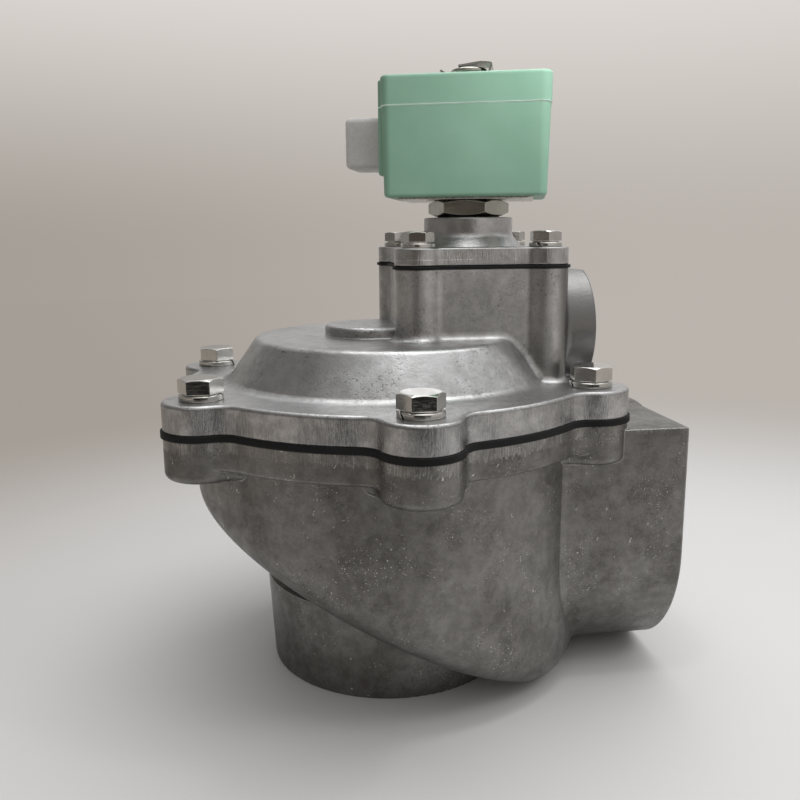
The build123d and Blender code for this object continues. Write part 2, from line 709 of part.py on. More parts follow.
def terminal_cap():
    start = coil_w / 2 + face_t + fit_clear
    shell = Pos(start + cap_len / 2, 0, cap_z) * Box(cap_len, cap_w, cap_h)
    outer = shell.faces().sort_by(Axis.X)[-1]
    shell = fillet(outer.edges() + shell.edges().filter_by(Axis.X), cap_corner_r)
    depth = cap_len - cap_wall + cut_past
    hollow = Pos(start - cut_past + depth / 2, 0, cap_z) * Box(depth, cap_w - 2 * cap_wall, cap_h - 2 * cap_wall)
    return face_side() * (shell - fillet(hollow.edges().filter_by(Axis.X), cap_corner_r - cap_wall))


def coil_yoke():
    sheet = coil_place(base_top_z) * extrude(RectangleRounded(yoke_w, yoke_d, yoke_corner_r), yoke_t)
    return sheet - rod(core_tube_r + coil_fit, base_top_z - cut_past, coil_z + cut_past, pilot)


def retaining_clip():
    # A folded spring strip: a forked tongue in the plug's groove, bent back over the plug's end.
    low = groove_z + groove_h / 2
    high = plug_end_z + fit_clear + clip_t / 2
    path = FilletPolyline((clip["toe_x"], low + clip["toe_lift"]), (clip["heel_x"], low), (clip["bend_x"], low),
                          (clip["reach"], high + clip["back_lift"]), (clip["crest_x"], high + clip["crest_lift"]),
                          (clip["tail_x"], high), radius=clip["fold_r"])
    strip = extrude(Plane.XZ * trace(path, clip_t), clip_w / 2, both=True)
    slot_w = 2 * (groove_r + thread_clear)
    slot = Pos(-clip_w / 2, 0, low) * Box(clip_w, slot_w, 3 * clip_t) + rod(slot_w / 2, low - clip_t, low + clip_t)
    return coil_place(0.0) * (strip - slot)


def hex_bolts(places, turns, size, seat):
    # Heads stand on a thin round washer face.
    bolts = []
    head_z = seat + washer_face_t
    for place, turn in zip(places, turns):
        head = Pos(0, 0, head_z) * Rot(0, 0, turn) * hexagon(size["af"], size["head"] - washer_face_t, "top")
        head += rod(size["af"] / 2 * hex_face_part, seat, head_z)
        shank = rod(size["r"], seat - size["length"], seat + 1.0)
        shank = chamfer(shank.edges().group_by(Axis.Z)[0], thread_chamfer)
        bolts.append(place * (head + shank))
    return Compound(children=bolts)


def spring_washers(places, splits, size, z):
    # Split rings, pressed flat.
    washers = []
    for place, split in zip(places, splits):
        body = ring(size["washer_r"], size["r"] + hole_clear, z, z + size["washer_t"])
        body = fillet(body.edges().filter_by(GeomType.CIRCLE), washer_edge_r)
        gap = Rot(0, 0, split) * Pos(size["washer_r"], 0, z + size["washer_t"] / 2) * Rot(washer_split_deg, 0, 0)
        gap *= Box(size["washer_r"], washer_split, 3 * size["washer_t"])
        washers.append(place * (body - gap))
    return Compound(children=washers)


def cover_bolts():
    return hex_bolts(bolt_places(), m8_turns_deg, m8, cover_top_z + m8["washer_t"])


def bonnet_bolts():
    return hex_bolts(pilot_places(), m6_turns_deg, m6, bonnet_top_z + m6["washer_t"])


parts = {
    "valve_body": valve_body(),
    "main_cover": main_cover(),
    "pilot_bonnet": pilot_bonnet(),
    "main_diaphragm": main_diaphragm(),
    "main_seat_disc": main_seat_disc(),
    "main_support_plate": main_support_plate(),
    "main_disc_bolt": main_disc_bolt(),
    "main_disc_nut": main_disc_nut(),
    "main_spring": coil_spring(main_spring, plate_top_z, ceiling_z + spring_groove),
    "pilot_diaphragm": pilot_diaphragm(),
    "pilot_disc": pilot_disc(),
    "pilot_support_plate": pilot_support_plate(),
    "pilot_rivet": pilot_rivet(),
    "pilot_spring": coil_spring(pilot_spring, pilot_plate_top_z, pocket_z, pilot),
    "solenoid_base": solenoid_base(),
    "base_gasket": base_gasket(),
    "core_tube": core_tube(),
    "plug_nut": plug_nut(),
    "plunger_core": plunger_core(),
    "core_seal": core_seal(),
    "core_spring": coil_spring(core_spring, core_top_z - core_pocket_h, plug_z, pilot),
    "coil": coil(),
    "coil_yoke": coil_yoke(),
    "retaining_clip": retaining_clip(),
    "spade_terminals": spade_terminals(),
    "terminal_cap": terminal_cap(),
    "cover_bolts": cover_bolts(),
    "cover_spring_washers": spring_washers(bolt_places(), m8_splits_deg, m8, cover_top_z),
    "bonnet_bolts": bonnet_bolts(),
    "bonnet_spring_washers": spring_washers(pilot_places(), m6_splits_deg, m6, bonnet_top_z),
}

os.makedirs("parts", exist_ok=True)
for name, shape in parts.items():
    export_step(shape, f"parts/{name}.step")
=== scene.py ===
import bpy
import bmesh
import json
import math
from mathutils import Matrix, Vector


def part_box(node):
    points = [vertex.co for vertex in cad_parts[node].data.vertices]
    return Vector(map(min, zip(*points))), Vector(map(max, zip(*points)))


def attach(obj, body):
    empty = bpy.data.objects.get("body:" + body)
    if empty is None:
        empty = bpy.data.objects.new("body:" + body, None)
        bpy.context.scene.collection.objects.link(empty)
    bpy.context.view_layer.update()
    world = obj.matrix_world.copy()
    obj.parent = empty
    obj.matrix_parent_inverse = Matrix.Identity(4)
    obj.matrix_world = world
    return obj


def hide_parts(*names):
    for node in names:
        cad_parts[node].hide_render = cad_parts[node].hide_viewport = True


# A pulse valve: tumbled castings with linished flanges, a green coil and bright screws.
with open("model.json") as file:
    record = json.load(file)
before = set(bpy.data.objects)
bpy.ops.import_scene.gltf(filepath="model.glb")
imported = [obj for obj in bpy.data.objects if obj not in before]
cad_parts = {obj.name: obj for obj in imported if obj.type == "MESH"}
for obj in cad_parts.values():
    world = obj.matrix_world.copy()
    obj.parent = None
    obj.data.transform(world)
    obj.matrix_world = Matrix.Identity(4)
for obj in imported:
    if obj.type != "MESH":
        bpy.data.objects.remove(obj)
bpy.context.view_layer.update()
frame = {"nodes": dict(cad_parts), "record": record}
scene = bpy.context.scene
nodes = frame["nodes"]
print("frame loaded:", len(nodes), "nodes")

# Camera, at the photograph's place and angle
cameraSettings = {
    "place": (-0.04009, -0.31537, 0.16202),
    "yawDeg": 8.081,      # turned from +Y towards +X
    "pitchDeg": 11.19,    # looking down
    "rollDeg": -0.485,
    "lens": 37.75,
    "sensor": 36.0,
    "clip": (0.01, 20.0),
}


def makeCamera(settings):
    yaw = math.radians(settings["yawDeg"])
    pitch = math.radians(settings["pitchDeg"])
    roll = math.radians(settings["rollDeg"])
    forward = Vector((math.sin(yaw) * math.cos(pitch), math.cos(yaw) * math.cos(pitch),
                      -math.sin(pitch)))
    level = Vector((math.cos(yaw), -math.sin(yaw), 0))
    upright = level.cross(forward)
    right = level * math.cos(roll) + upright * math.sin(roll)
    up = upright * math.cos(roll) - level * math.sin(roll)
    data = bpy.data.cameras.new("photoCamera")
    data.lens = settings["lens"]
    data.sensor_width = settings["sensor"]
    data.clip_start, data.clip_end = settings["clip"]
    camera = bpy.data.objects.new("photoCamera", data)
    turn = Matrix((right, up, -forward)).transposed().to_4x4()
    camera.matrix_world = Matrix.Translation(settings["place"]) @ turn
    scene.collection.objects.link(camera)
    scene.camera = camera


makeCamera(cameraSettings)
scene.view_settings.view_transform = "Standard"
print("camera set")


# Small helpers for shader trees: a value is either another node's socket or a constant
def supply(tree, socket, value):
    if isinstance(value, bpy.types.NodeSocket):
        tree.links.new(value, socket)
    else:
        socket.default_value = value


def put(tree, kind, inputs, **settings):
    node = tree.nodes.new(kind)
    for name, value in settings.items():
        setattr(node, name, value)
    for name, value in inputs.items():
        supply(tree, node.inputs[name], value)
    return node


def noise(tree, vector, scale, detail=3.0, roughness=0.55):
    found = put(tree, "ShaderNodeTexNoise", {"Vector": vector, "Scale": scale, "Detail": detail,
                                             "Roughness": roughness})
    return found.outputs["Fac"]


def reckon(tree, operation, first, second=0.0, third=0.0):
    inputs = {0: first, 1: second}
    if operation in ("MULTIPLY_ADD", "WRAP"):
        inputs[2] = third
    return put(tree, "ShaderNodeMath", inputs, operation=operation).outputs[0]


def ramp(tree, value, low, high, start=0.0, end=1.0):
    return put(tree, "ShaderNodeMapRange", {"Value": value, "From Min": low, "From Max": high,
                                            "To Min": start, "To Max": end},
               interpolation_type="SMOOTHSTEP").outputs["Result"]


def vectorMath(tree, operation, inputs, output="Vector"):
    return put(tree, "ShaderNodeVectorMath", inputs, operation=operation).outputs[output]


def split(tree, vector):
    return put(tree, "ShaderNodeSeparateXYZ", {"Vector": vector}).outputs


def blendColours(tree, factor, first, second):
    node = tree.nodes.new("ShaderNodeMix")
    node.data_type = "RGBA"
    colourInputs = [s for s in node.inputs if s.type == "RGBA"]
    factorInput = next(s for s in node.inputs if s.type == "VALUE")
    supply(tree, factorInput, factor)
    for socket, value in zip(colourInputs, (first, second)):
        supply(tree, socket, value if isinstance(value, bpy.types.NodeSocket) else (*value, 1.0))
    return next(s for s in node.outputs if s.type == "RGBA")


def newGroup(name, inputs, outputs):
    tree = bpy.data.node_groups.new(name, "ShaderNodeTree")
    for label, kind, value in inputs:
        socket = tree.interface.new_socket(label, in_out="INPUT", socket_type="NodeSocket" + kind)
        if value is not None:
            socket.default_value = value
    for label, kind in outputs:
        tree.interface.new_socket(label, in_out="OUTPUT", socket_type="NodeSocket" + kind)
    return tree, tree.nodes.new("NodeGroupInput").outputs, tree.nodes.new("NodeGroupOutput").inputs


def placeGroup(tree, groupTree, inputs):
    node = tree.nodes.new("ShaderNodeGroup")
    node.node_tree = groupTree
    for name, value in inputs.items():
        supply(tree, node.inputs[name], value)
    return node.outputs


# Tumbled casting skin: broad blotches, mottling, pepper-like dark pits and fine bright dings
def makeCastSkin():
    tree, given, out = newGroup(
        "castSkin",
        [("Vector", "Vector", None), ("Blotches", "Float", 34.0), ("Pits", "Float", 0.5),
         ("Dings", "Float", 0.5)],
        [("Shade", "Float"), ("Pit", "Float"), ("Ding", "Float"), ("Height", "Float")])
    spot = given["Vector"]
    broad = ramp(tree, noise(tree, spot, given["Blotches"], 4.0, 0.6), 0.34, 0.66)
    mottle = ramp(tree, noise(tree, spot, 210.0, 5.0, 0.72), 0.32, 0.68)
    grain = noise(tree, spot, 1500.0, 2.0, 0.6)
    shade = reckon(tree, "MULTIPLY_ADD", broad, 0.40, reckon(tree, "MULTIPLY", mottle, 0.40))
    shade = reckon(tree, "MULTIPLY_ADD", grain, 0.20, shade)
    crowded = ramp(tree, noise(tree, spot, 75.0, 3.0, 0.6), 0.40, 0.68, 0.10, 1.0)
    pit = reckon(tree, "MULTIPLY", ramp(tree, noise(tree, spot, 1050.0, 2.0, 0.5), 0.575, 0.66), crowded)
    pit = reckon(tree, "MULTIPLY", pit, given["Pits"])
    drift = put(tree, "ShaderNodeTexNoise", {"Vector": spot, "Scale": 900.0}).outputs["Color"]
    bent = vectorMath(tree, "MULTIPLY_ADD", {0: drift, 1: (0.0022, 0.0022, 0.0044), 2: spot})
    cells = put(tree, "ShaderNodeTexVoronoi", {"Vector": bent, "Scale": 330.0})
    rare = put(tree, "ShaderNodeSeparateColor", {"Color": cells.outputs["Color"]}).outputs[0]
    ding = reckon(tree, "MULTIPLY", ramp(tree, cells.outputs["Distance"], 0.13, 0.05),
                  ramp(tree, rare, 0.70, 0.75))
    speck = reckon(tree, "MULTIPLY", ramp(tree, noise(tree, spot, 1900.0, 1.0, 0.5), 0.68, 0.74),
                   ramp(tree, noise(tree, spot, 60.0, 2.0, 0.6), 0.45, 0.62))
    ding = reckon(tree, "MULTIPLY", reckon(tree, "MAXIMUM", ding, speck), given["Dings"])
    height = reckon(tree, "MULTIPLY_ADD", grain, 0.55, reckon(tree, "MULTIPLY", mottle, 0.45))
    height = reckon(tree, "MULTIPLY_ADD", pit, -0.9, height)
    tree.links.new(shade, out["Shade"])
    tree.links.new(pit, out["Pit"])
    tree.links.new(ding, out["Ding"])
    tree.links.new(height, out["Height"])
    return tree


# Fine marks of a linishing belt or a cutter: many thin lines, stretched along one axis
def makeToolMarks():
    tree, given, out = newGroup(
        "toolMarks",
        [("Vector", "Vector", None), ("Stretch", "Vector", (1.0, 1.0, 0.06)),
         ("Scale", "Float", 1500.0)],
        [("Line", "Float"), ("Patch", "Float")])
    drawn = vectorMath(tree, "MULTIPLY", {0: given["Vector"], 1: given["Stretch"]})
    line = ramp(tree, noise(tree, drawn, given["Scale"], 2.0, 0.7), 0.3, 0.7)
    patch = ramp(tree, noise(tree, given["Vector"], 95.0, 3.0, 0.65), 0.38, 0.62)
    tree.links.new(line, out["Line"])
    tree.links.new(patch, out["Patch"])
    return tree


# Broken edges: a normal rounded over a small radius, and a mask of where it turns, on concave creases too;
# the materials use the mask to paint edges lighter, partly worn edges and partly painted highlight
def makeEdges():
    tree, given, out = newGroup(
        "roundedEdges", [("Radius", "Float", 0.0006)], [("Edge", "Float"), ("Normal", "Vector")])
    rounded = put(tree, "ShaderNodeBevel", {"Radius": given["Radius"]}, samples=6).outputs["Normal"]
    flat = put(tree, "ShaderNodeNewGeometry", {}).outputs["Normal"]
    match = vectorMath(tree, "DOT_PRODUCT", {0: rounded, 1: flat}, "Value")
    tree.links.new(ramp(tree, match, 0.995, 0.86), out["Edge"])
    tree.links.new(rounded, out["Normal"])
    return tree


castSkin = makeCastSkin()
toolMarks = makeToolMarks()
roundedEdges = makeEdges()
print("shader groups built")


def startMaterial(name):
    material = bpy.data.materials.new(name)
    material.use_nodes = True
    tree = material.node_tree
    where = tree.nodes.new("ShaderNodeTexCoord")
    return material, tree, tree.nodes["Principled BSDF"], where.outputs


def bump(tree, height, normal, strength, distance):
    return put(tree, "ShaderNodeBump", {"Height": height, "Normal": normal, "Strength": strength,
                                        "Distance": distance}).outputs["Normal"]


def feed(tree, shader, links, **constants):
    for name, value in constants.items():
        shader.inputs[name.replace("_", " ")].default_value = value
    for name, socket in links.items():
        tree.links.new(socket, shader.inputs[name])


castings = {
    "body": {"dark": (0.115, 0.108, 0.098), "light": (0.285, 0.277, 0.265), "rough": (0.36, 0.50),
             "pits": 0.35, "dings": 0.9,
             "linished": (0.0938, 0.0985), "ragged": 0.0016, "worn": (0.15, 0.85), "brushed": (0.70, 1.45),
             "edge": (0.74, 0.72, 0.69), "edgeRadius": 0.0007, "bright": 0.75},
    "cover": {"dark": (0.33, 0.326, 0.320), "light": (0.67, 0.67, 0.67), "rough": (0.28, 0.42),
              "pits": 0.6, "dings": 0.35,
              "linished": (0.0990, 0.1086), "ragged": 0.0004, "worn": (0.0, 0.85), "brushed": (0.40, 0.66),
              "edge": (0.80, 0.80, 0.80), "edgeRadius": 0.0008, "bright": 0.55,
              # painted shade on the exhaust boss: from X, to X, and the share of the dark colour
              "bossShade": (0.0555, 0.0600, 0.68)},
    "bonnet": {"dark": (0.33, 0.324, 0.317), "light": (0.65, 0.65, 0.65), "rough": (0.27, 0.4),
               "pits": 0.35, "dings": 0.3,
               "linished": (0.1500, 0.1567), "ragged": 0.0004, "worn": (0.1, 0.85), "brushed": (0.8, 1.1),
               "edge": (0.80, 0.80, 0.80), "edgeRadius": 0.0005, "bright": 0.55,
               "trim": (0.0035, 0.00025)},
    "bore": {"dark": (0.30, 0.295, 0.285), "light": (0.50, 0.495, 0.485), "rough": (0.24, 0.34),
             "pits": 0.2, "dings": 0.2,
             "linished": (-1.0, -0.9), "ragged": 0.0004, "worn": (0.0, 0.0), "brushed": (0.8, 1.1),
             "edge": (0.72, 0.71, 0.69), "edgeRadius": 0.0002, "bright": 0.4},
}
# What all castings share: the two sets of upright strokes, the band's ends and gloss, pits and relief
castShared = {
    "coarse": {"Stretch": (1.0, 1.0, 0.16), "Scale": 1250.0},
    "fine": {"Stretch": (1.0, 1.0, 0.09), "Scale": 2200.0},
    "upright": (0.5, 0.3), "fade": 0.0004, "bandRough": 0.26, "bandPits": -0.8, "pitShade": 0.42,
    "bandSkin": -0.85, "bandStrokes": 0.7, "strength": 0.30, "relief": 0.00022,
    "bossShadeFrom": (0.0015, 0.0035), "trimPatch": (0.2, 0.6),
}


def makeCasting(name, look, shared=castShared):
    material, tree, shader, where = startMaterial(name)
    spot = where["Object"]
    skin = placeGroup(tree, castSkin, {"Vector": spot, "Pits": look["pits"], "Dings": look["dings"]})
    edges = placeGroup(tree, roundedEdges, {"Radius": look["edgeRadius"]})
    marks = placeGroup(tree, toolMarks, {"Vector": spot, **shared["coarse"]})
    fine = placeGroup(tree, toolMarks, {"Vector": spot, **shared["fine"]})
    # The linished band: upright faces between two levels, with a ragged lower end
    height = split(tree, spot)["Z"]
    facing = split(tree, where["Normal"])["Z"]
    upright = ramp(tree, reckon(tree, "ABSOLUTE", facing), *shared["upright"])
    low, high = look["linished"]
    start = low + look["ragged"] * 0.5
    ragged = reckon(tree, "MULTIPLY_ADD", marks["Line"], look["ragged"], height)
    band = reckon(tree, "MULTIPLY", ramp(tree, ragged, start, start + shared["fade"]),
                  ramp(tree, height, high + shared["fade"], high))
    band = reckon(tree, "MULTIPLY", band, upright)
    worn = reckon(tree, "MULTIPLY", band, ramp(tree, marks["Patch"], 0.0, 1.0, *look["worn"]))
    # Colour
    colour = blendColours(tree, skin["Shade"], look["dark"], look["light"])
    strokes = [[part * c for c in look["light"]] for part in look["brushed"]]
    brushed = blendColours(tree, fine["Line"], *strokes)
    colour = blendColours(tree, worn, colour, brushed)
    pit = reckon(tree, "MULTIPLY", skin["Pit"],
                 reckon(tree, "MULTIPLY_ADD", band, shared["bandPits"], 1.0))
    colour = blendColours(tree, pit, colour, [shared["pitShade"] * c for c in look["dark"]])
    colour = blendColours(tree, skin["Ding"], colour, look["edge"])
    # Lighter colour along edges and creases: partly worn edges, partly painted highlight
    edge = reckon(tree, "MULTIPLY", edges["Edge"], look["bright"])
    colour = blendColours(tree, edge, colour, look["edge"])
    # Painted shade: above the flange and towards +X, on the exhaust boss, the colour is darkened towards a
    # share of the dark tone
    if "bossShade" in look:
        near, far, share = look["bossShade"]
        across = split(tree, spot)["X"]
        raised = ramp(tree, height, *[high + rise for rise in shared["bossShadeFrom"]])
        bossShade = reckon(tree, "MULTIPLY", ramp(tree, across, near, far), raised)
        colour = blendColours(tree, bossShade, colour, [share * c for c in look["dark"]])
    if "trim" in look:
        down, half = look["trim"]
        away = reckon(tree, "ABSOLUTE", reckon(tree, "SUBTRACT", height, high - down))
        line = reckon(tree, "MULTIPLY", ramp(tree, away, half, 0.3 * half), upright)
        line = reckon(tree, "MULTIPLY", line, ramp(tree, marks["Patch"], *shared["trimPatch"]))
        colour = blendColours(tree, line, colour, look["edge"])
    # Gloss and relief
    smooth, rough = look["rough"]
    gloss = reckon(tree, "MULTIPLY_ADD", skin["Shade"], smooth - rough, rough)
    gloss = reckon(tree, "MULTIPLY_ADD", band, reckon(tree, "SUBTRACT", shared["bandRough"], gloss), gloss)
    relief = reckon(tree, "MULTIPLY", skin["Height"],
                    reckon(tree, "MULTIPLY_ADD", band, shared["bandSkin"], 1.0))
    relief = reckon(tree, "MULTIPLY_ADD", fine["Line"],
                    reckon(tree, "MULTIPLY", band, shared["bandStrokes"]), relief)
    normal = bump(tree, relief, edges["Normal"], shared["strength"], shared["relief"])
    feed(tree, shader, {"Base Color": colour, "Roughness": gloss, "Normal": normal}, Metallic=1.0)
    return material


steels = {
    "screwSteel": {"colour": (0.68, 0.665, 0.635), "rough": (0.05, 0.14), "stretch": (0.05, 0.05, 1.0),
                   "scale": 3200.0, "edgeRadius": 0.00035},
    "springSteel": {"colour": (0.50, 0.49, 0.47), "rough": (0.22, 0.36), "stretch": (0.2, 0.2, 1.0),
                    "scale": 2600.0, "edgeRadius": 0.00015},
    "zincSteel": {"colour": (0.63, 0.62, 0.58), "rough": (0.24, 0.4), "stretch": (1.0, 0.1, 1.0),
                  "scale": 1500.0, "edgeRadius": 0.0003},
    "turnedSteel": {"colour": (0.56, 0.56, 0.50), "rough": (0.16, 0.26), "stretch": (0.05, 0.05, 1.0),
                    "scale": 2600.0, "edgeRadius": 0.0005},
    "tinnedBrass": {"colour": (0.72, 0.68, 0.55), "rough": (0.25, 0.38), "stretch": (0.1, 1.0, 1.0),
                    "scale": 2400.0, "edgeRadius": 0.00015},
}


def makeSteel(name, look):
    material, tree, shader, where = startMaterial(name)
    spot = where["Object"]
    marks = placeGroup(tree, toolMarks, {"Vector": spot, "Stretch": look["stretch"],
                                         "Scale": look["scale"]})
    edges = placeGroup(tree, roundedEdges, {"Radius": look["edgeRadius"]})
    tone = blendColours(tree, marks["Patch"], [0.86 * c for c in look["colour"]], look["colour"])
    # Lighter colour along edges: partly polished edges, partly painted highlight
    tone = blendColours(tree, reckon(tree, "MULTIPLY", edges["Edge"], 0.6), tone,
                        [min(1.0, 1.3 * c) for c in look["colour"]])
    smooth, rough = look["rough"]
    gloss = ramp(tree, marks["Line"], 0.0, 1.0, smooth, rough)
    normal = bump(tree, marks["Line"], edges["Normal"], 0.12, 0.00006)
    feed(tree, shader, {"Base Color": tone, "Roughness": gloss, "Normal": normal}, Metallic=1.0)
    return material


mouldings = {
    "coilGreen": {"colour": (0.225, 0.405, 0.300), "pale": (0.262, 0.450, 0.340), "rough": (0.40, 0.5),
                  "grain": 2600.0, "relief": 0.16, "edgeRadius": 0.0006, "edge": (0.42, 0.62, 0.5),
                  "parting": (0.0102, 0.0003), "flash": (0.75, 0.95, 0.85), "sheen": 0.5},
    "blackRubber": {"colour": (0.006, 0.006, 0.0062), "pale": (0.014, 0.014, 0.0145),
                    "rough": (0.5, 0.68),
                    "grain": 1500.0, "relief": 0.5, "edgeRadius": 0.0007,
                    "edge": (0.02, 0.02, 0.021), "sheen": 0.2},
    "seatPlastic": {"colour": (0.035, 0.036, 0.040), "pale": (0.05, 0.05, 0.055), "rough": (0.4, 0.55),
                    "grain": 2000.0, "relief": 0.3, "edgeRadius": 0.0004, "edge": (0.09, 0.09, 0.1),
                    "sheen": 0.5},
}


def makeMoulding(name, look):
    material, tree, shader, where = startMaterial(name)
    spot = where["Object"]
    edges = placeGroup(tree, roundedEdges, {"Radius": look["edgeRadius"]})
    grain = noise(tree, spot, look["grain"], 3.0, 0.6)
    cloud = ramp(tree, noise(tree, spot, 40.0, 4.0), 0.3, 0.7)
    tone = blendColours(tree, cloud, look["colour"], look["pale"])
    # Paler colour along edges: partly worn edges, partly painted highlight
    tone = blendColours(tree, reckon(tree, "MULTIPLY", edges["Edge"], 0.35), tone, look["edge"])
    if "parting" in look:
        down, half = look["parting"]
        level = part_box("coil")[1][2] - down
        away = reckon(tree, "ABSOLUTE", reckon(tree, "SUBTRACT", split(tree, spot)["Z"], level))
        tone = blendColours(tree, ramp(tree, away, half, 0.5 * half), tone, look["flash"])
    smooth, rough = look["rough"]
    gloss = ramp(tree, reckon(tree, "MULTIPLY_ADD", grain, 0.5, reckon(tree, "MULTIPLY", cloud, 0.5)),
                 0.25, 0.75, smooth, rough)
    normal = bump(tree, grain, edges["Normal"], look["relief"], 0.00008)
    feed(tree, shader, {"Base Color": tone, "Roughness": gloss, "Normal": normal},
         Specular_IOR_Level=look["sheen"])
    return material


def makeFrostedCap():
    material, tree, shader, where = startMaterial("frostedCap")
    cloud = noise(tree, where["Object"], 900.0, 3.0)
    tone = blendColours(tree, ramp(tree, cloud, 0.3, 0.7), (0.80, 0.79, 0.78), (0.90, 0.895, 0.89))
    gloss = ramp(tree, cloud, 0.3, 0.7, 0.42, 0.55)
    edges = placeGroup(tree, roundedEdges, {"Radius": 0.0006})
    normal = bump(tree, cloud, edges["Normal"], 0.2, 0.0001)
    feed(tree, shader, {"Base Color": tone, "Roughness": gloss, "Normal": normal},
         Transmission_Weight=0.55, IOR=1.45)
    return material


materialsBySlot = {
    "cast_aluminium": makeCasting("bodyCasting", castings["body"]),
    "cover_aluminium": makeCasting("coverCasting", castings["cover"]),
    "black_rubber": makeMoulding("blackRubber", mouldings["blackRubber"]),
    "seat_plastic": makeMoulding("seatPlastic", mouldings["seatPlastic"]),
    "coil_resin": makeMoulding("coilGreen", mouldings["coilGreen"]),
    "zinc_steel": makeSteel("zincSteel", steels["zincSteel"]),
    "bright_steel": makeSteel("screwSteel", steels["screwSteel"]),
    "spring_steel": makeSteel("springSteel", steels["springSteel"]),
    "nickel_steel": makeSteel("turnedSteel", steels["turnedSteel"]),
    "tinned_brass": makeSteel("tinnedBrass", steels["tinnedBrass"]),
    "cap_plastic": makeFrostedCap(),
}
bonnetCasting = makeCasting("bonnetCasting", castings["bonnet"])
print("materials made:", len(bpy.data.materials))


def dress(piece, material):
    piece.data.materials.clear()
    piece.data.materials.append(material)


slotOf = {row["node"]: row["material_slot"] for row in frame["record"]["subparts"]}
bodyOf = {member: body for body, members in frame["record"]["behaviour"]["bodies"].items()
          for member in members}
for nodeName, node in nodes.items():
    dress(node, materialsBySlot[slotOf[nodeName]])
dress(nodes["pilot_bonnet"], bonnetCasting)
print("nodes dressed")


# Pipe threads: each port's bore is opened to the thread's root, and a sleeve with a helical crest lines it
ports = [
    {"name": "inletThread", "node": "valve_body", "mouth": (0.100, 0.0, 0.0486), "inward": (-1, 0, 0),
     "crest": 0.0361, "root": 0.0376, "depth": 0.024},
    {"name": "outletThread", "node": "valve_body", "mouth": (0.0, 0.0, 0.0), "inward": (0, 0, 1),
     "crest": 0.0361, "root": 0.0376, "depth": 0.024},
    {"name": "exhaustThread", "node": "main_cover", "mouth": (0.074, 0.0, 0.1264), "inward": (-1, 0, 0),
     "crest": 0.0152, "root": 0.01664, "depth": 0.014},
]
threadSettings = {"pitch": 0.002309, "crestPart": 0.16, "rootPart": 0.16, "steps": 96, "set": 0.0001,
                  "wall": 0.0002, "sharpDeg": 35}


def portPlace(port):
    turn = Vector((0, 0, 1)).rotation_difference(Vector(port["inward"])).to_matrix().to_4x4()
    return Matrix.Translation(port["mouth"]) @ turn


def openBores(shape, node):
    for port in ports:
        if port["node"] != node:
            continue
        inPort = portPlace(port).inverted()
        for vert in shape.verts:
            local = inPort @ vert.co
            radius = local.xy.length
            if abs(radius - port["crest"]) < 3e-5 and -1e-5 < local.z < port["depth"] + 1e-5:
                local.xy *= port["root"] / radius
                vert.co = portPlace(port) @ local


# A CAD node's copy, merged and changed, which keeps the node's smooth shading corner by corner
def replaceNode(nodeName, name, change):
    mesh = nodes[nodeName].data.copy()
    mesh.name = name
    normals = [0.0] * (3 * len(mesh.loops))
    mesh.corner_normals.foreach_get("vector", normals)
    mesh.attributes.new("shading", "FLOAT_VECTOR", "CORNER").data.foreach_set("vector", normals)
    shape = bmesh.new()
    shape.from_mesh(mesh)
    bmesh.ops.remove_doubles(shape, verts=shape.verts, dist=1e-6)
    change(shape, nodeName)
    shape.to_mesh(mesh)
    shape.free()
    kept = mesh.attributes["shading"]
    mesh.normals_split_custom_set([tuple(corner.vector) for corner in kept.data])
    mesh.attributes.remove(mesh.attributes["shading"])
    slot = slotOf[nodeName]
    return finishPiece(name, mesh, bodyOf[nodeName], slot, materialsBySlot[slot], nodeName)


def finishPiece(name, mesh, body, slot, material, *replaced):
    piece = bpy.data.objects.new(name, mesh)
    scene.collection.objects.link(piece)
    dress(piece, material)
    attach(piece, body)
    if replaced:
        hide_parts(*replaced)
    return piece


